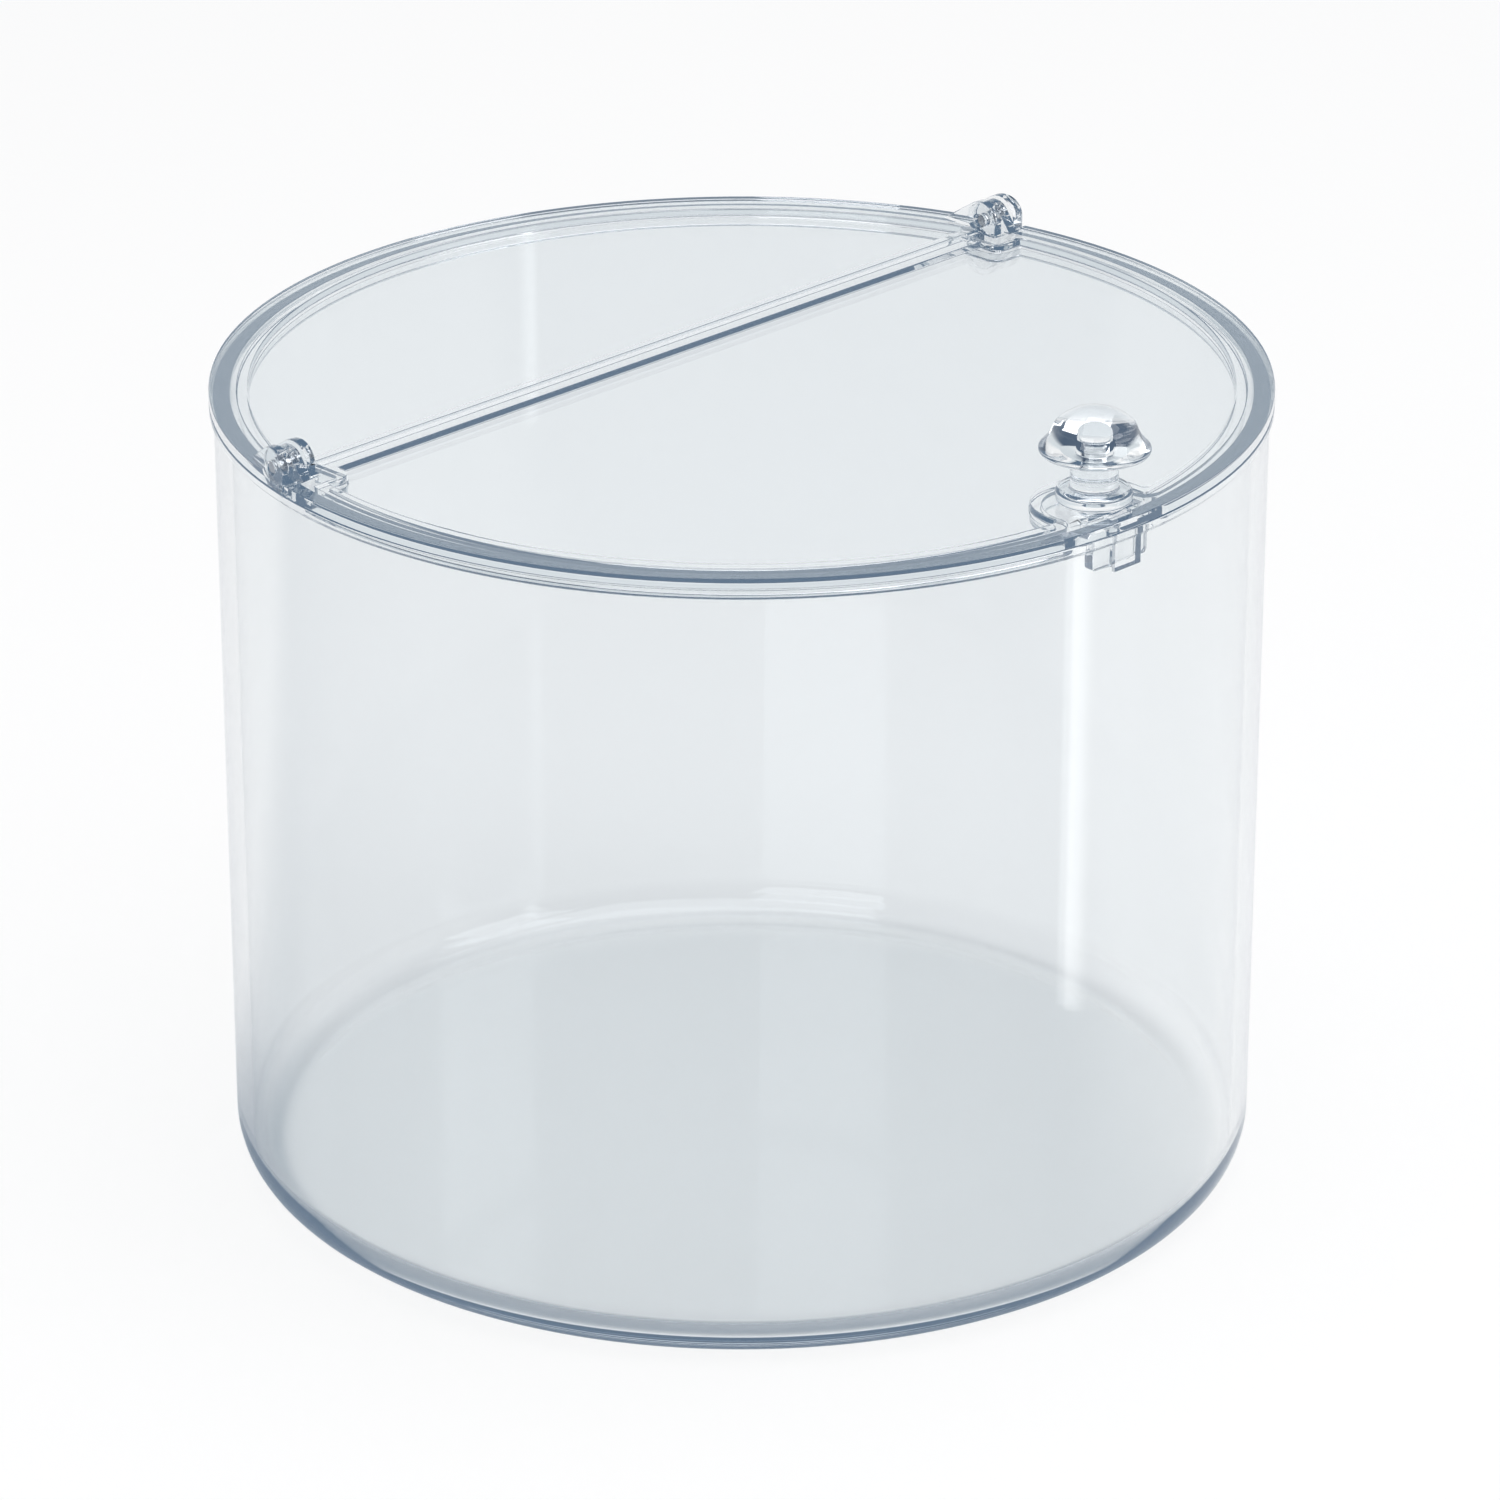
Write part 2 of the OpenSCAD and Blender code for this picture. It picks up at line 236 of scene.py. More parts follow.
def smooth(piece: bpy.types.Object, degrees: float = 32) -> None:
    """Shades a piece smooth where it is nearly flat, and keeps its broad faces flat.

    Args:
        piece: the piece to shade.
        degrees: the sharpest angle that still looks round.
    """
    select_only(piece)
    bpy.ops.object.shade_smooth_by_angle(angle=math.radians(degrees))
    level = piece.modifiers.new("flat faces stay flat", "WEIGHTED_NORMAL")
    level.mode = "FACE_AREA"
    level.weight = FLAT_WEIGHT
    level.keep_sharp = True
    apply_modifiers(piece)


def rounded_copy(node: str, name: str, radius: float, skin: float) -> bpy.types.Object:
    """Copies a CAD node, cleans its triangles and rounds its edges.

    Args:
        node: the CAD node to copy.
        name: the new object's name.
        radius: the radius of the moulded edges, in millimetres.
        skin: how far the faces draw in, so that they stay clear of their neighbours.

    Returns:
        The finished copy.
    """
    piece = bpy.data.objects.new(name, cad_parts[node].data.copy())
    bpy.context.scene.collection.objects.link(piece)
    select_only(piece)
    bpy.ops.mesh.customdata_custom_splitnormals_clear()
    bpy.ops.object.mode_set(mode="EDIT")
    bpy.ops.mesh.select_all(action="SELECT")
    bpy.ops.mesh.remove_doubles(threshold=CAD_MERGE * MM)
    bpy.ops.mesh.dissolve_limited(angle_limit=FLAT_ANGLE, use_dissolve_boundaries=False)
    bpy.ops.mesh.select_all(action="SELECT")
    bpy.ops.transform.shrink_fatten(value=-skin * MM, use_even_offset=True)
    bpy.ops.object.mode_set(mode="OBJECT")
    edge = piece.modifiers.new("moulded edge", "BEVEL")
    edge.width = radius * MM
    edge.segments = EDGE_SEGMENTS
    edge.limit_method = "ANGLE"
    edge.angle_limit = SHARP_ANGLE
    edge.use_clamp_overlap = False
    edge.miter_outer = "MITER_SHARP"
    apply_modifiers(piece)
    return piece


class NodeTree:
    """Short ways to place and join the nodes of one tree."""

    def __init__(self, tree: bpy.types.NodeTree) -> None:
        """Takes the tree that the nodes go into."""
        self.tree = tree

    def add(self, kind: str, **settings: object) -> bpy.types.Node:
        """Adds a node and sets its properties.

        Args:
            kind: the node's type.
            settings: property names and their values.

        Returns:
            The new node.
        """
        node = self.tree.nodes.new(kind)
        for key, value in settings.items():
            setattr(node, key, value)
        return node

    def join(self, source: bpy.types.NodeSocket, target: bpy.types.NodeSocket) -> None:
        """Links an output socket to an input socket."""
        self.tree.links.new(source, target)

    def show(self, shader: bpy.types.Node) -> None:
        """Makes a shader what the surface shows."""
        self.join(shader.outputs[0], self.tree.nodes["Material Output"].inputs["Surface"])

    def blend(
        self, share: bpy.types.NodeSocket, first: bpy.types.Node, second: bpy.types.Node
    ) -> bpy.types.Node:
        """Mixes two shaders.

        Args:
            share: how much of the second one shows, from 0 to 1.
            first: the shader at a share of 0.
            second: the shader at a share of 1.

        Returns:
            The mixing node.
        """
        mix = self.add("ShaderNodeMixShader")
        self.join(share, mix.inputs["Fac"])
        self.join(first.outputs[0], mix.inputs[1])
        self.join(second.outputs[0], mix.inputs[2])
        return mix

    def bent(self, ray: bpy.types.Node) -> bpy.types.NodeSocket:
        """Tells, from a Light Path node, what is mirrored or seen through the plastic."""
        glossy, through = ray.outputs["Is Glossy Ray"], ray.outputs["Is Transmission Ray"]
        return self.number("MAXIMUM", glossy, through)

    def graded(self, value: bpy.types.NodeSocket, low: float, high: float) -> bpy.types.NodeSocket:
        """Grades a value softly from 0 to 1.

        Args:
            value: the socket to grade.
            low: the value that gives 0.
            high: the value that gives 1.

        Returns:
            The grade's socket.
        """
        grade = self.add("ShaderNodeMapRange", interpolation_type="SMOOTHSTEP")
        self.join(value, grade.inputs["Value"])
        grade.inputs["From Min"].default_value = low
        grade.inputs["From Max"].default_value = high
        return grade.outputs["Result"]

    def colour(
        self, share: bpy.types.NodeSocket, first: object, second: object
    ) -> bpy.types.NodeSocket:
        """Mixes two colours.

        Args:
            share: how much of the second one shows, from 0 to 1.
            first: the colour at a share of 0, or its socket.
            second: the colour at a share of 1, or its socket.

        Returns:
            The mixed colour's socket.
        """
        mix = self.add("ShaderNodeMix", data_type="RGBA")
        self.join(share, mix.inputs["Factor"])
        for label, colour in (("A", first), ("B", second)):
            if isinstance(colour, bpy.types.NodeSocket):
                self.join(colour, mix.inputs[label])
            else:
                mix.inputs[label].default_value = colour
        return mix.outputs["Result"]

    def number(self, operation: str, first: object, second: object) -> bpy.types.NodeSocket:
        """Works out one sum of two numbers or sockets.

        Args:
            operation: the Math node's operation.
            first: a number or an output socket.
            second: a number or an output socket.

        Returns:
            The result's socket.
        """
        node = self.add("ShaderNodeMath", operation=operation)
        for socket, value in zip(node.inputs, (first, second)):
            if isinstance(value, bpy.types.NodeSocket):
                self.join(value, socket)
            else:
                socket.default_value = value
        return node.outputs[0]


@dataclass
class SurfaceGroups:
    """The node groups that more than one finish uses, each built once."""

    scratches: tuple[tuple[float, tuple[float, float, float]], ...] = (
        (0.5, (900, 60, 400)),
        (-0.9, (70, 800, 500)),
        (1.7, (600, 500, 45)),
    )
    scratch_lean: float = 0.7
    scratch_detail: float = 3
    scratch_thinness: float = 9.0
    scratch_strength: float = 18.0
    haze_scale: float = 35
    haze_detail: float = 5
    wave_detail: float = 1.5
    wave_roughness: float = 0.35
    wear: bpy.types.NodeTree = field(init=False)
    flow: bpy.types.NodeTree = field(init=False)

    def __post_init__(self) -> None:
        """Builds both groups."""
        self.wear = self._wear()
        self.flow = self._flow()

    @staticmethod
    def _new(
        name: str, inputs: dict[str, float], output: str
    ) -> tuple[bpy.types.NodeTree, NodeTree]:
        """Makes an empty group with named inputs and one named output.

        Args:
            name: the group's name.
            inputs: each input's name and starting value.
            output: the name of its one output.

        Returns:
            The group and the helper that fills it.
        """
        group = bpy.data.node_groups.new(name, "ShaderNodeTree")
        for label, value in inputs.items():
            socket = group.interface.new_socket(
                label, in_out="INPUT", socket_type="NodeSocketFloat"
            )
            socket.default_value = value
        group.interface.new_socket(output, in_out="OUTPUT", socket_type="NodeSocketFloat")
        return group, NodeTree(group)

    def _wear(self) -> bpy.types.NodeTree:
        """Builds fine handling scratches over a faint uneven haze.

        Returns:
            A group whose output feeds a roughness.
        """
        inputs = {"Scale": 1.0, "Clean": 0.02, "Worn": 0.1}
        group, nodes = self._new("handling wear", inputs, "Roughness")
        inside = nodes.add("NodeGroupInput")
        outside = nodes.add("NodeGroupOutput")
        where = nodes.add("ShaderNodeTexCoord")
        layers = []
        for turn, stretch in self.scratches:
            lay = nodes.add("ShaderNodeMapping")
            lay.inputs["Rotation"].default_value = (turn, turn * self.scratch_lean, turn)
            lay.inputs["Scale"].default_value = stretch
            nodes.join(where.outputs["Object"], lay.inputs["Vector"])
            grain = nodes.add("ShaderNodeTexNoise")
            grain.inputs["Detail"].default_value = self.scratch_detail
            nodes.join(lay.outputs[0], grain.inputs["Vector"])
            nodes.join(inside.outputs["Scale"], grain.inputs["Scale"])
            layers.append(nodes.number("POWER", grain.outputs["Fac"], self.scratch_thinness))
        marks = nodes.number("ADD", nodes.number("ADD", layers[0], layers[1]), layers[2])
        haze = nodes.add("ShaderNodeTexNoise")
        haze.inputs["Scale"].default_value = self.haze_scale
        haze.inputs["Detail"].default_value = self.haze_detail
        nodes.join(where.outputs["Object"], haze.inputs["Vector"])
        strong = nodes.number("MULTIPLY", marks, self.scratch_strength)
        mask = nodes.number("MULTIPLY", strong, haze.outputs["Fac"])
        spread = nodes.add("ShaderNodeMapRange")
        nodes.join(mask, spread.inputs["Value"])
        nodes.join(inside.outputs["Clean"], spread.inputs["To Min"])
        nodes.join(inside.outputs["Worn"], spread.inputs["To Max"])
        nodes.join(spread.outputs["Result"], outside.inputs["Roughness"])
        return group

    def _flow(self) -> bpy.types.NodeTree:
        """Builds the slow waves that moulding leaves in a polished sheet.

        Returns:
            A group whose output feeds a bump's height.
        """
        group, nodes = self._new("moulding flow", {"Scale": 20.0, "Pull": 0.35}, "Height")
        inside = nodes.add("NodeGroupInput")
        outside = nodes.add("NodeGroupOutput")
        where = nodes.add("ShaderNodeTexCoord")
        pull = nodes.add("ShaderNodeCombineXYZ")
        for axis in ("X", "Y"):
            pull.inputs[axis].default_value = 1
        nodes.join(inside.outputs["Pull"], pull.inputs["Z"])
        lay = nodes.add("ShaderNodeVectorMath", operation="MULTIPLY")
        nodes.join(where.outputs["Object"], lay.inputs[0])
        nodes.join(pull.outputs[0], lay.inputs[1])
        waves = nodes.add("ShaderNodeTexNoise")
        waves.inputs["Detail"].default_value = self.wave_detail
        waves.inputs["Roughness"].default_value = self.wave_roughness
        nodes.join(lay.outputs[0], waves.inputs["Vector"])
        nodes.join(inside.outputs["Scale"], waves.inputs["Scale"])
        nodes.join(waves.outputs["Fac"], outside.inputs["Height"])
        return group


@dataclass(frozen=True)
class ClearPlastic:
    """Clear polished acrylic that lets the lamps through.

    Where a ray has bounced more than a few times in a wall, the surface shows a painted shade
    instead: a slate glow with no lamp behind it, which paints dark edges into the walls.
    """

    name: str
    tint: Colour
    # the colour of the painted shade that the walls glow in after a few bounces
    painted_edge_shade: Colour
    shade: Colour = (0.93, 0.95, 0.96, 1)
    # how many mirrored bounces pass before the painted shade shows
    painted_shade_after: float = 3.5
    clean: float = 0.012
    worn: float = 0.05
    scratch_scale: float = 1.0
    flow_scale: float = 22.0
    flow_height: float = 0.02
    ior: float = 1.49

    def build(self, groups: SurfaceGroups) -> bpy.types.Material:
        """Makes the material.

        Args:
            groups: the shared node groups.

        Returns:
            The new material.
        """
        material = bpy.data.materials.new(self.name)
        material.use_nodes = True
        nodes = NodeTree(material.node_tree)
        plastic = material.node_tree.nodes["Principled BSDF"]
        plastic.inputs["Base Color"].default_value = self.tint
        plastic.inputs["Transmission Weight"].default_value = 1.0
        plastic.inputs["Metallic"].default_value = 0.0
        plastic.inputs["IOR"].default_value = self.ior
        wear = nodes.add("ShaderNodeGroup", node_tree=groups.wear)
        wear.inputs["Scale"].default_value = self.scratch_scale
        wear.inputs["Clean"].default_value = self.clean
        wear.inputs["Worn"].default_value = self.worn
        nodes.join(wear.outputs["Roughness"], plastic.inputs["Roughness"])
        flow = nodes.add("ShaderNodeGroup", node_tree=groups.flow)
        flow.inputs["Scale"].default_value = self.flow_scale
        bump = nodes.add("ShaderNodeBump")
        bump.inputs["Strength"].default_value = 1.0
        bump.inputs["Distance"].default_value = self.flow_height * MM
        nodes.join(flow.outputs["Height"], bump.inputs["Height"])
        nodes.join(bump.outputs["Normal"], plastic.inputs["Normal"])
        clear = nodes.add("ShaderNodeBsdfTransparent")
        clear.inputs["Color"].default_value = self.shade
        ray = nodes.add("ShaderNodeLightPath")
        # Painted shade: past a few mirrored bounces the plastic glows a flat slate colour instead
        # of showing what lies beyond.
        glow = nodes.add("ShaderNodeEmission")
        glow.inputs["Color"].default_value = self.painted_edge_shade
        shows_painted_shade = nodes.number("GREATER_THAN", ray.outputs["Glossy Depth"], self.painted_shade_after)
        body = nodes.blend(shows_painted_shade, plastic, glow)
        nodes.show(nodes.blend(ray.outputs["Is Shadow Ray"], body, clear))
        return material


@dataclass(frozen=True)
class DrawnSteel:
    """Stainless wire with fine rings and long draw marks."""

    name: str
    bright: Colour
    dull: Colour
    mark_stretch: tuple[float, float, float] = (400, 9000, 9000)
    mark_depth: float = 0.01
    scratch_scale: float = 4.0
    clean: float = 0.2
    worn: float = 0.42

    def build(self, groups: SurfaceGroups) -> bpy.types.Material:
        """Makes the material.

        Args:
            groups: the shared node groups.

        Returns:
            The new material.
        """
        material = bpy.data.materials.new(self.name)
        material.use_nodes = True
        nodes = NodeTree(material.node_tree)
        steel = material.node_tree.nodes["Principled BSDF"]
        steel.inputs["Metallic"].default_value = 1.0
        where = nodes.add("ShaderNodeTexCoord")
        lay = nodes.add("ShaderNodeMapping")
        lay.inputs["Scale"].default_value = self.mark_stretch
        nodes.join(where.outputs["Object"], lay.inputs["Vector"])
        marks = nodes.add("ShaderNodeTexNoise")
        marks.inputs["Scale"].default_value = 1.0
        nodes.join(lay.outputs[0], marks.inputs["Vector"])
        tone = nodes.colour(marks.outputs["Fac"], self.dull, self.bright)
        nodes.join(tone, steel.inputs["Base Color"])
        wear = nodes.add("ShaderNodeGroup", node_tree=groups.wear)
        wear.inputs["Scale"].default_value = self.scratch_scale
        wear.inputs["Clean"].default_value = self.clean
        wear.inputs["Worn"].default_value = self.worn
        nodes.join(wear.outputs["Roughness"], steel.inputs["Roughness"])
        bump = nodes.add("ShaderNodeBump")
        bump.inputs["Distance"].default_value = self.mark_depth * MM
        nodes.join(marks.outputs["Fac"], bump.inputs["Height"])
        nodes.join(bump.outputs["Normal"], steel.inputs["Normal"])
        return material


def dress(
    piece: bpy.types.Object, material: bpy.types.Material, body: Body, slot: Slot, *nodes: str
) -> None:
    """Gives a piece its finish, its body and the CAD nodes that it stands for.

    Args:
        piece: the finished piece.
        material: its finish.
        body: the body that it rides on.
        slot: the record's slot of its finish; not used.
        nodes: the CAD nodes that it replaces.
    """
    smooth(piece)
    piece.data.materials.clear()
    piece.data.materials.append(material)
    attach(piece, body.value)
    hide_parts(*nodes)
    log.info("%s: %d faces on %s", piece.name, len(piece.data.polygons), body.value)


@dataclass
class Tub:
    """The tub: one moulding with a beaded rim, a rounded base corner and a guide groove."""

    material: bpy.types.Material
    wall: float = 3.0
    draft: float = 0.5
    floor: float = 4.0
    base_corner: float = 9.0
    bead_out: float = 0.8
    bead_height: float = 2.2
    edge: float = 0.35
    groove_width: float = 6.4
    groove_depth: float = 1.2
    groove_foot: float = 7.9
    steps: int = 240

    def _outline(self, rim: float, height: float) -> list[Point]:
        """Gives the half section from the middle of the floor round to the underside.

        Args:
            rim: the outside radius over the bead, in millimetres.
            height: the tub's height.

        Returns:
            The section's points.
        """
        wall = rim - self.bead_out
        base = wall - self.draft
        section = [
            Corner(0, self.floor),
            Corner(base - self.wall, self.floor, self.base_corner - self.wall),
            Corner(wall - self.wall, height, self.edge),
            Corner(rim, height, self.edge),
            Corner(rim, height - self.bead_height + self.bead_out, self.edge),
            Corner(wall, height - self.bead_height, self.edge),
            Corner(base, 0, self.base_corner),
            Corner(0, 0),
        ]
        return Profile(section).points()

    def _groove_cutter(self, mouth: float, height: float) -> bpy.types.Object:
        """Makes the block that cuts the guide groove, open at the top.

        Args:
            mouth: the radius inside the mouth, in millimetres.
            height: the tub's height.

        Returns:
            The block.
        """
        depth = 3 * self.groove_depth
        rise = self.groove_foot * 2
        bpy.ops.object.select_all(action="DESELECT")
        bpy.ops.mesh.primitive_cube_add(size=1)
        cutter = bpy.context.object
        cutter.scale = (self.groove_width * MM, depth * MM, rise * MM)
        middle = -(mouth + self.groove_depth - depth / 2)
        cutter.location = (0, middle * MM, (height - self.groove_foot + rise / 2) * MM)
        bpy.ops.object.transform_apply(location=True, rotation=True, scale=True)
        return cutter

    def build(self) -> None:
        """Turns the tub, cuts its groove and dresses it."""
        _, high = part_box("tub")
        rim = high.x / MM
        height = high.z / MM
        outline = self._outline(rim, height)
        piece = turned("clear_tub", outline, Vector((0, 0, 0)), self.steps, Direction.UP)
        cutter = self._groove_cutter(rim - self.bead_out - self.wall, height)
        cut = piece.modifiers.new("guide groove", "BOOLEAN")
        cut.operation = "DIFFERENCE"
        cut.object = cutter
        apply_modifiers(piece)
        bpy.data.objects.remove(cutter)
        dress(piece, self.material, Body.BIN, Slot.TUB, "tub")


@dataclass
class Covers:
    """The fixed rear cover and the flap, with softly rounded moulded edges."""

    rear_material: bpy.types.Material
    flap_material: bpy.types.Material
    edge: float = 0.22
    skin: float = 0.02

    def build(self) -> None:
        """Rounds and dresses both covers."""
        rear = rounded_copy("rear_cover", "fixed_rear_cover", self.edge, self.skin)
        dress(rear, self.rear_material, Body.BIN, Slot.REAR_COVER, "rear_cover")
        flap = rounded_copy("front_lid", "hinged_flap", self.edge, self.skin)
        dress(flap, self.flap_material, Body.LID, Slot.FRONT_LID, "front_lid")


@dataclass
class HingePins:
    """The two short steel pins, with rounded ends."""

    material: bpy.types.Material
    radius: float = 1.2
    end_round: float = 0.35
    steps: int = 48

    def build(self) -> None:
        """Turns one pin for each side and dresses it."""
        for side in ("left", "right"):
            node = f"hinge_pin_{side}"
            low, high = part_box(node)
            length = (high.x - low.x) / MM
            section = [
                Corner(0, 0),
                Corner(self.radius, 0, self.end_round),
                Corner(self.radius, length, self.end_round),
                Corner(0, length),
            ]
            at = Vector((low.x, (low.y + high.y) / 2, (low.z + high.z) / 2))
            outline = Profile(section).points()
            pin = turned(f"steel_pin_{side}", outline, at, self.steps, Direction.ACROSS)
            dress(pin, self.material, Body.BIN, Slot.HINGE_PINS, node)


@dataclass
class Knob:
    """The mushroom knob: a cap on a stem whose stud passes the flap."""

    material: bpy.types.Material
    collar_radius: float = 6.7
    collar_height: float = 2.7
    collar_round: float = 1.0
    neck_radius: float = 4.2
    neck_height: float = 5.1
    spigot_radius: float = 2.2
    spigot_height: float = 3.4
    socket_play: float = 0.2
    brim_rise: float = 1.95
    brim_round: float = 0.8
    brim_angle: float = math.radians(35)
    kink_radius: float = 7.0
    skirt_height: float = 4.45
    dome_height: float = 3.0
    flare_radius: float = 9.0
    stud_radius: float = 1.3
    retainer_radius: float = 2.5
    retainer_height: float = 1.6
    edge: float = 0.2
    seat: float = 0.03
    brim_faces: int = 10
    flare_faces: int = 8
    dome_faces: int = 12
    steps: int = 96

    def _cap_outline(self, cap_radius: float, neck_top: float) -> list[Point]:
        """Gives the cap's half section, from the socket round to the crown.

        Args:
            cap_radius: the radius over the brim, in millimetres.
            neck_top: the height at which the cap sits.

        Returns:
            The section's points.
        """
        foot = neck_top + self.seat
        socket = self.spigot_radius + self.seat
        ceiling = foot + self.spigot_height + self.socket_play
        brim = (cap_radius - self.brim_round, neck_top + self.brim_rise)
        under = Profile(
            [
                Corner(0, ceiling),
                Corner(socket, ceiling, self.edge),
                Corner(socket, foot, self.edge),
                Corner(self.neck_radius, foot, 2 * self.edge),
                Corner(brim[0], brim[1] - self.brim_round),
            ]
        ).points()
        rim = arc(brim, self.brim_round, -math.pi / 2, self.brim_angle, self.brim_faces)
        kink = Vector((self.kink_radius, brim[1] + self.skirt_height))
        top = Vector(rim[-1])
        chord = kink - top
        rise = math.sqrt(self.flare_radius**2 - chord.length_squared / 4)
        hollow = (top + kink) / 2 + Vector((chord.y, -chord.x)).normalized() * rise
        first = math.atan2(top.y - hollow.y, top.x - hollow.x)
        last = math.atan2(kink.y - hollow.y, kink.x - hollow.x)
        sweep = (first % math.tau, last % math.tau)
        flare = arc(tuple(hollow), self.flare_radius, *sweep, self.flare_faces)
        radius = (self.kink_radius**2 + self.dome_height**2) / (2 * self.dome_height)
        middle = (0.0, kink.y + self.dome_height - radius)
        tilt = math.asin((kink.y - middle[1]) / radius)
        dome = arc(middle, radius, tilt, math.pi / 2, self.dome_faces)
        return under[:-1] + rim + flare[1:] + dome[1:]

    def _stem_outline(self, border: float, stud_foot: float) -> list[Point]:
        """Gives the stem's half section, from the stud's end up to the spigot's top.

        Args:
            border: the height of the flap's top, in millimetres.
            stud_foot: the height of the stud's end.

        Returns:
            The section's points.
        """
        stud = self.stud_radius - self.seat
        foot = border + self.seat
        collar_top = border + self.collar_height
        neck_top = collar_top + self.neck_height
        section = [
            Corner(0, stud_foot),
            Corner(stud, stud_foot, self.edge),
            Corner(stud, foot, self.edge),
            Corner(self.collar_radius, foot, self.collar_round),
            Corner(self.collar_radius, collar_top, self.collar_round),
            Corner(self.neck_radius, collar_top, 2 * self.edge),
            Corner(self.neck_radius, neck_top, self.edge),
            Corner(self.spigot_radius, neck_top, self.edge),
            Corner(self.spigot_radius, neck_top + self.spigot_height, self.edge),
            Corner(0, neck_top + self.spigot_height),
        ]
        return Profile(section).points()

    def _retainer_outline(self, top: float) -> list[Point]:
        """Gives the retainer ring's closed section.

        Args:
            top: the height of the ring's top, in millimetres.

        Returns:
            The section's points.
        """
        inner = self.stud_radius
        foot = top - self.retainer_height
        section = [
            Corner(inner, top - self.retainer_height / 2),
            Corner(inner, foot, self.edge),
            Corner(self.retainer_radius, foot, 2 * self.edge),
            Corner(self.retainer_radius, top - self.seat, self.edge),
            Corner(inner, top - self.seat, self.edge),
            Corner(inner, top - self.retainer_height / 2),
        ]
        return Profile(section).points()

    def build(self) -> None:
        """Turns the three pieces of the knob and dresses them."""
        low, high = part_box("knob_cap")
        stem_low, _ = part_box("knob_stem")
        _, ring_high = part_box("knob_retainer")
        axis = Vector((0, (low.y + high.y) / 2, 0))
        cap_radius = (high.x - low.x) / 2 / MM
        neck_top = low.z / MM
        border = neck_top - self.neck_height - self.collar_height
        outlines = {
            "knob_cap": self._cap_outline(cap_radius, neck_top),
            "knob_stem": self._stem_outline(border, stem_low.z / MM),
            "knob_retainer": self._retainer_outline(ring_high.z / MM),
        }
        for node, outline in outlines.items():
            piece = turned(f"clear_{node}", outline, axis, self.steps, Direction.UP)
            dress(piece, self.material, Body.LID, Slot.KNOB, node)


@dataclass(frozen=True)
class Camera:
    """The camera, at the photograph's angle, distance and framing."""

    lens: float = 178.3
    sensor: float = 36
    distance: float = 1.3557
    elevation: float = math.radians(23.83)
    azimuth: float = math.radians(-45)
    target_height: float = 0.0748
    aim_right: float = 0.00146
    aim_up: float = 0.00184
    clip_start: float = 0.01

    def build(self) -> None:
        """Places the camera and makes it the scene's own."""
        flat = math.cos(self.elevation)
        back = Vector(
            (
                math.sin(self.azimuth) * flat,
                -math.cos(self.azimuth) * flat,
                math.sin(self.elevation),
            )
        )
        right = Vector((math.cos(self.azimuth), math.sin(self.azimuth), 0))
        up = back.cross(right)
        target = Vector((0, 0, self.target_height))
        aim = target + right * self.aim_right + up * self.aim_up
        bpy.ops.object.select_all(action="DESELECT")
        bpy.ops.object.camera_add(location=aim + back * self.distance)
        camera = bpy.context.object
        camera.rotation_euler = (-back).to_track_quat("-Z", "Y").to_euler()
        camera.data.lens = self.lens
        camera.data.sensor_width = self.sensor
        camera.data.clip_start = self.clip_start
        bpy.context.scene.camera = camera


@dataclass(frozen=True)
class DarkSide:
    """The side on which the stage is slate to what the plastic mirrors and bends.

    It is a fixed direction in the scene, so it stays put in every view.
    """

    azimuth: float = math.radians(-65)

    def share(
        self, nodes: NodeTree, place: bpy.types.NodeSocket, start: float, end: float
    ) -> bpy.types.NodeSocket:
        """Grades from 0 on the white side to 1 on the dark side.

        Args:
            nodes: the tree that the grade is built in.
            place: the place or direction to grade.
            start: how far towards the dark side the grade begins.
            end: how far it reaches 1.

        Returns:
            The grade's socket.
        """
        along = nodes.add("ShaderNodeVectorMath", operation="DOT_PRODUCT")
        nodes.join(place, along.inputs[0])
        along.inputs[1].default_value = (math.sin(self.azimuth), -math.cos(self.azimuth), 0)
        return nodes.graded(along.outputs["Value"], start, end)


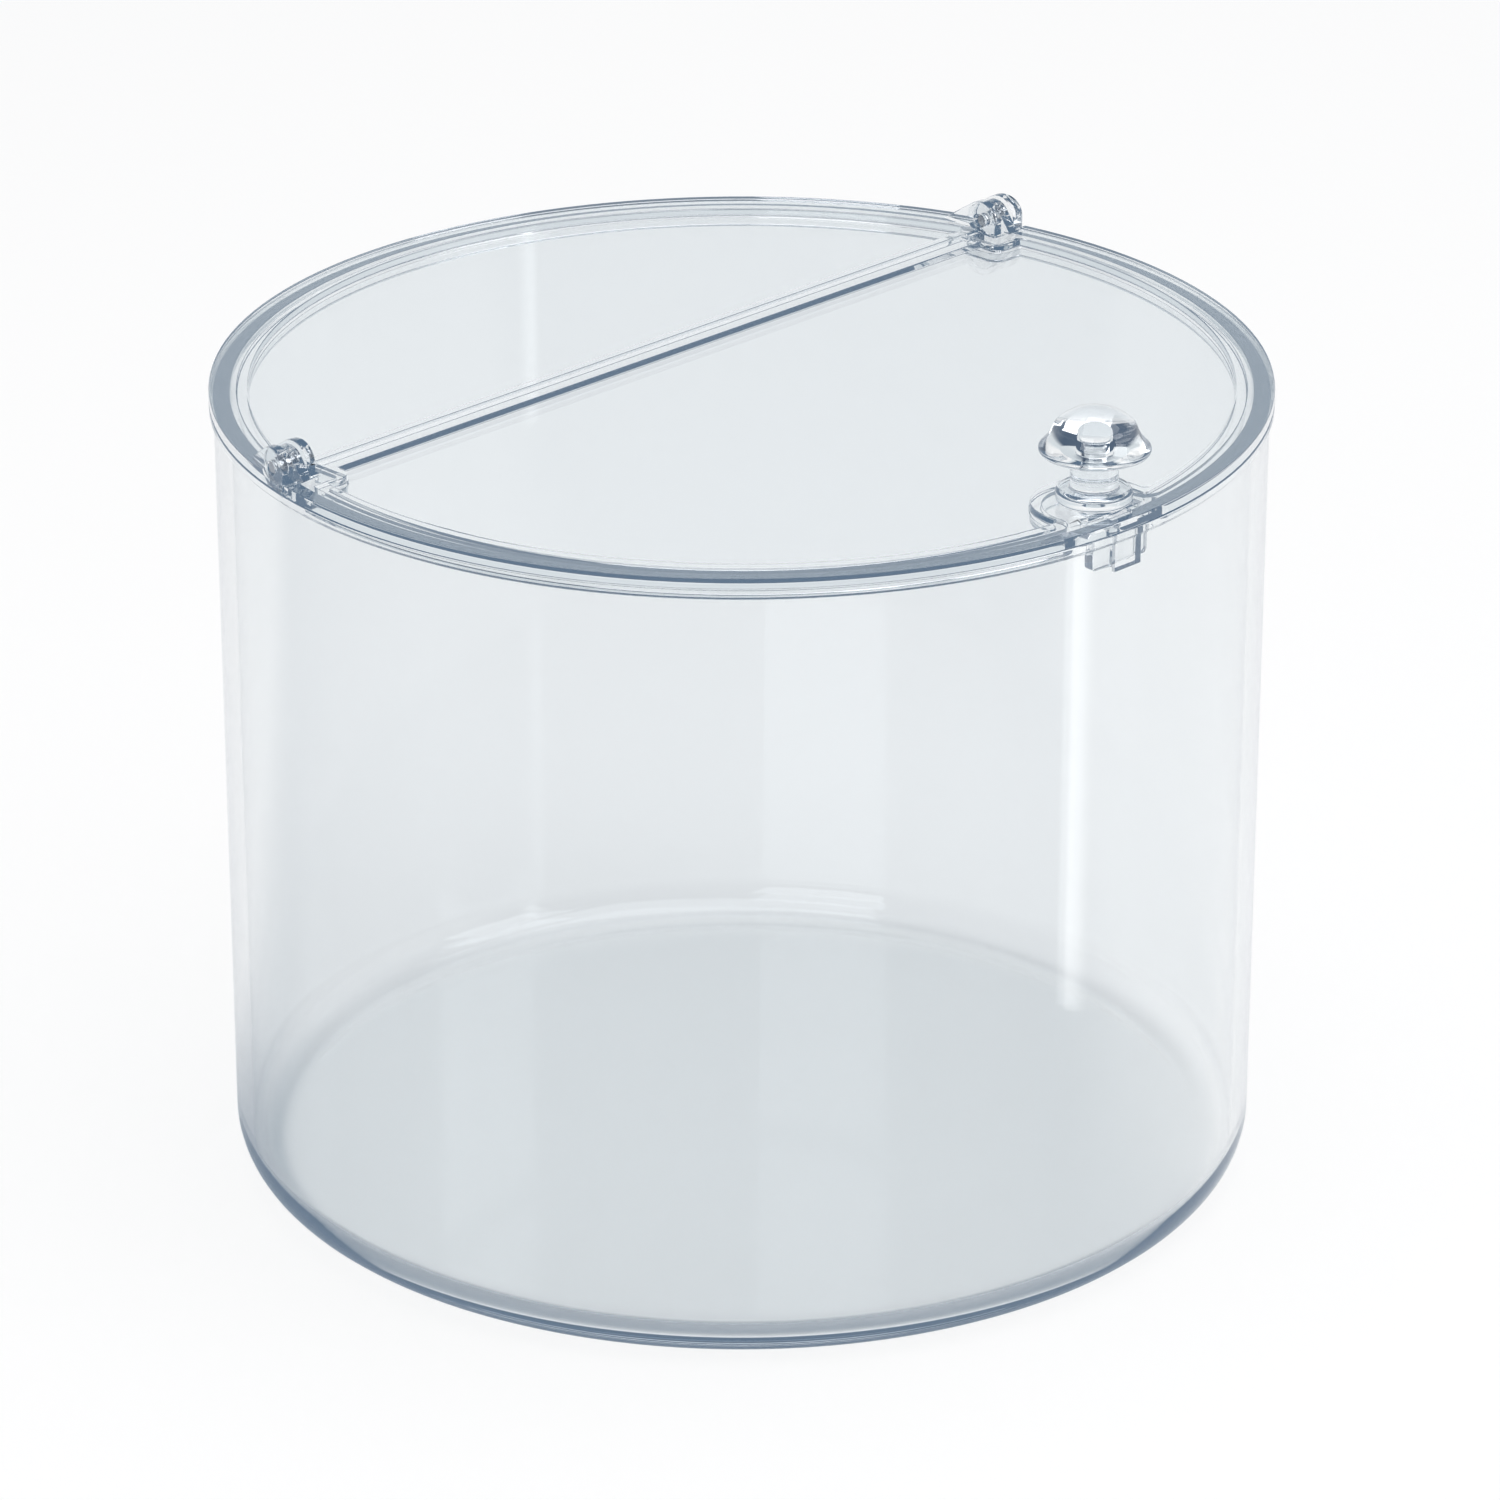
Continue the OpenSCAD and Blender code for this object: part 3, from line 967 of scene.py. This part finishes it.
@dataclass(frozen=True)
class PaleFloor:
    """The floor: white to the camera, with a painted slate reflection on the dark side that only
    what the plastic mirrors or bends sees.
    """

    dark_side: DarkSide
    size: float = 6.0
    drop: float = 0.0002
    paint: Colour = (0.9, 0.9, 0.9, 1)
    roughness: float = 0.9
    # painted reflection: the slate that the plastic sees in the floor on the dark side
    painted_shade_slate: Colour = (0.17, 0.23, 0.3, 1)
    painted_reflection_start: float = -0.02
    painted_reflection_end: float = 0.05
    foot_inside: float = 0.083
    foot_outside: float = 0.088
    direct_glow: float = 0.8
    bent_glow: float = 0.5

    def _material(self) -> bpy.types.Material:
        """Makes the floor's paint, which glows a little where it is seen or mirrored; on the dark
        side, outside the bin's foot, the mirrored glow is a painted slate reflection.

        Returns:
            The new material.
        """
        material = bpy.data.materials.new("pale floor")
        material.use_nodes = True
        nodes = NodeTree(material.node_tree)
        paint = material.node_tree.nodes["Principled BSDF"]
        paint.inputs["Base Color"].default_value = self.paint
        paint.inputs["Roughness"].default_value = self.roughness
        place = nodes.add("ShaderNodeTexCoord").outputs["Object"]
        ray = nodes.add("ShaderNodeLightPath")
        bent = nodes.bent(ray)
        length = nodes.add("ShaderNodeVectorMath", operation="LENGTH")
        nodes.join(place, length.inputs[0])
        outside = nodes.graded(length.outputs["Value"], self.foot_inside, self.foot_outside)
        # Painted reflection: outside the bin's foot on the dark side, the floor shows slate to
        # what the plastic mirrors or bends.
        painted_reflection_share = self.dark_side.share(nodes, place, self.painted_reflection_start, self.painted_reflection_end)
        front = nodes.number("MULTIPLY", painted_reflection_share, outside)
        glow = nodes.add("ShaderNodeEmission")
        tone = nodes.colour(nodes.number("MULTIPLY", front, bent), WHITE, self.painted_shade_slate)
        nodes.join(tone, glow.inputs["Color"])
        direct = nodes.number("MULTIPLY", ray.outputs["Is Camera Ray"], self.direct_glow)
        mirrored = nodes.number("MULTIPLY", bent, self.bent_glow)
        nodes.show(nodes.blend(nodes.number("ADD", direct, mirrored), paint, glow))
        return material

    def build(self) -> None:
        """Lays the floor just under the bin."""
        bpy.ops.object.select_all(action="DESELECT")
        bpy.ops.mesh.primitive_plane_add(size=self.size, location=(0, 0, -self.drop))
        floor = bpy.context.object
        floor.name = "floor"
        bpy.ops.object.transform_apply(location=True, rotation=True, scale=True)
        floor.data.materials.append(self._material())


@dataclass(frozen=True)
class Surroundings:
    """The world: white to the camera, and graded white to slate for the plastic.

    Each ramp gives its colours by the height over the horizon, from 0 to 1.
    """

    dark_side: DarkSide
    dark_start: float = -0.1
    dark_end: float = 0.4
    diffuse: Colour = (0.55, 0.56, 0.58, 1)
    back: Ramp = (
        (0.0, WHITE),
        (0.16, WHITE),
        (0.3, (0.74, 0.79, 0.82, 1)),
        (0.46, (0.7, 0.75, 0.78, 1)),
        (0.6, (0.08, 0.12, 0.18, 1)),
        (1.0, (0.12, 0.16, 0.22, 1)),
    )
    front: Ramp = (
        (0.0, (0.05, 0.08, 0.13, 1)),
        (0.3, (0.04, 0.06, 0.1, 1)),
        (1.0, (0.12, 0.16, 0.22, 1)),
    )

    @staticmethod
    def _by_height(
        nodes: NodeTree, height: bpy.types.NodeSocket, stops: Ramp
    ) -> bpy.types.NodeSocket:
        """Gives a colour for each height over the horizon.

        Args:
            nodes: the tree that the ramp is built in.
            height: the socket of the height, from 0 to 1.
            stops: the ramp's heights and colours, lowest first.

        Returns:
            The colour's socket.
        """
        ramp = nodes.add("ShaderNodeValToRGB")
        nodes.join(height, ramp.inputs["Fac"])
        elements = ramp.color_ramp.elements
        while len(elements) < len(stops):
            elements.new(0.5)  # moved to its own height below
        for element, (position, colour) in zip(elements, stops):
            element.position, element.color = position, colour
        return ramp.outputs["Color"]

    def build(self) -> None:
        """Makes the world and gives it to the scene."""
        world = bpy.data.worlds.new("studio")
        bpy.context.scene.world = world
        world.use_nodes = True
        nodes = NodeTree(world.node_tree)
        direction = nodes.add("ShaderNodeTexCoord").outputs["Generated"]
        split = nodes.add("ShaderNodeSeparateXYZ")
        nodes.join(direction, split.inputs[0])
        height = split.outputs["Z"]
        sides = nodes.colour(
            self.dark_side.share(nodes, direction, self.dark_start, self.dark_end),
            self._by_height(nodes, height, self.back),
            self._by_height(nodes, height, self.front),
        )
        ray = nodes.add("ShaderNodeLightPath")
        plain = nodes.colour(ray.outputs["Is Camera Ray"], self.diffuse, WHITE)
        tone = nodes.colour(nodes.bent(ray), plain, sides)
        background = world.node_tree.nodes["Background"]
        nodes.join(tone, background.inputs["Color"])


@dataclass(frozen=True)
class Lamp:
    """A square soft lamp that faces the middle of the floor."""

    name: str
    place: tuple[float, float, float]
    size: float
    power: float

    def build(self) -> None:
        """Hangs the lamp."""
        bpy.ops.object.select_all(action="DESELECT")
        bpy.ops.object.light_add(type="AREA", location=self.place)
        lamp = bpy.context.object
        lamp.name = self.name
        lamp.data.energy = self.power
        lamp.data.size = self.size
        lamp.rotation_euler = (-Vector(self.place)).to_track_quat("-Z", "Y").to_euler()


@dataclass(frozen=True)
class StripLight:
    """A narrow upright light beside the bin, which only polished plastic shows.

    Its fades are shares of its width, measured from its middle.
    """

    width: float = 0.024
    height: float = 0.15
    across: float = 0.0582
    forward: float = 0.1933
    turn: float = math.radians(34)
    strength: float = 2.5
    left_fade: tuple[float, float] = (-0.5, -0.3)
    right_fade: tuple[float, float] = (0.5, -0.1)

    def _material(self) -> bpy.types.Material:
        """Makes a glow with soft sides that only mirror reflections see.

        Returns:
            The new material.
        """
        material = bpy.data.materials.new("strip light")
        material.use_nodes = True
        nodes = NodeTree(material.node_tree)
        where = nodes.add("ShaderNodeTexCoord")
        split = nodes.add("ShaderNodeSeparateXYZ")
        nodes.join(where.outputs["Object"], split.inputs[0])
        left = nodes.graded(split.outputs["X"], *self.left_fade)
        right = nodes.graded(split.outputs["X"], *self.right_fade)
        ray = nodes.add("ShaderNodeLightPath")
        glow = nodes.add("ShaderNodeEmission")
        glow.inputs["Strength"].default_value = self.strength
        clear = nodes.add("ShaderNodeBsdfTransparent")
        shape = nodes.number("MULTIPLY", left, right)
        seen = nodes.number("MULTIPLY", shape, ray.outputs["Is Glossy Ray"])
        nodes.show(nodes.blend(seen, clear, glow))
        return material

    def build(self) -> None:
        """Stands the light on the floor."""
        place = (self.across, -self.forward, self.height / 2)
        bpy.ops.object.select_all(action="DESELECT")
        bpy.ops.mesh.primitive_plane_add(size=1, location=place)
        card = bpy.context.object
        card.name = "strip light"
        card.scale = (self.width, self.height, 1)
        card.rotation_euler = (math.pi / 2, 0, self.turn)
        card.data.materials.append(self._material())


@dataclass(frozen=True)
class Studio:
    """The camera, the floor, the surroundings and the lights."""

    camera: Camera = Camera()
    floor: PaleFloor = PaleFloor(DarkSide())
    surroundings: Surroundings = Surroundings(DarkSide())
    lamps: tuple[Lamp, ...] = (
        Lamp("overhead", (0.1, -0.2, 1.3), 1.2, 9.0),
        Lamp("left", (-1.1, -0.5, 0.7), 0.7, 4.0),
        Lamp("right", (0.5, -1.2, 1.0), 0.7, 4.0),
    )
    strip: StripLight = StripLight()

    def build(self) -> None:
        """Sets up the whole studio, in order."""
        for item in (self.camera, self.floor, self.surroundings, *self.lamps, self.strip):
            item.build()
            log.info("studio: %s ready", getattr(item, "name", type(item).__name__))
        bpy.context.scene.view_settings.view_transform = "Standard"


def main() -> None:
    """Builds the studio and every piece of the bin, in order."""
    logging.basicConfig(level=logging.INFO)
    Studio().build()
    groups = SurfaceGroups()
    # Painted shade: the slate that the plastic's walls glow in after a few bounces.
    painted_shade_slate: Colour = (0.11, 0.17, 0.25, 1)
    cover_tint: Colour = (0.945, 0.96, 0.968, 1)
    bright: Colour = (0.72, 0.73, 0.75, 1)
    dull: Colour = (0.5, 0.52, 0.55, 1)
    clear = ClearPlastic("clear tub acrylic", (0.925, 0.94, 0.947, 1), painted_shade_slate).build(groups)
    rear = ClearPlastic("clear cover acrylic", cover_tint, painted_shade_slate).build(groups)
    flap = ClearPlastic("clear flap acrylic", cover_tint, painted_shade_slate).build(groups)
    cast = ClearPlastic("clear knob acrylic", (0.95, 0.965, 0.975, 1), painted_shade_slate).build(groups)
    steel = DrawnSteel("drawn stainless wire", bright, dull).build(groups)
    Tub(clear).build()
    Covers(rear, flap).build()
    HingePins(steel).build()
    Knob(cast).build()


if __name__ == "__main__":
    main()
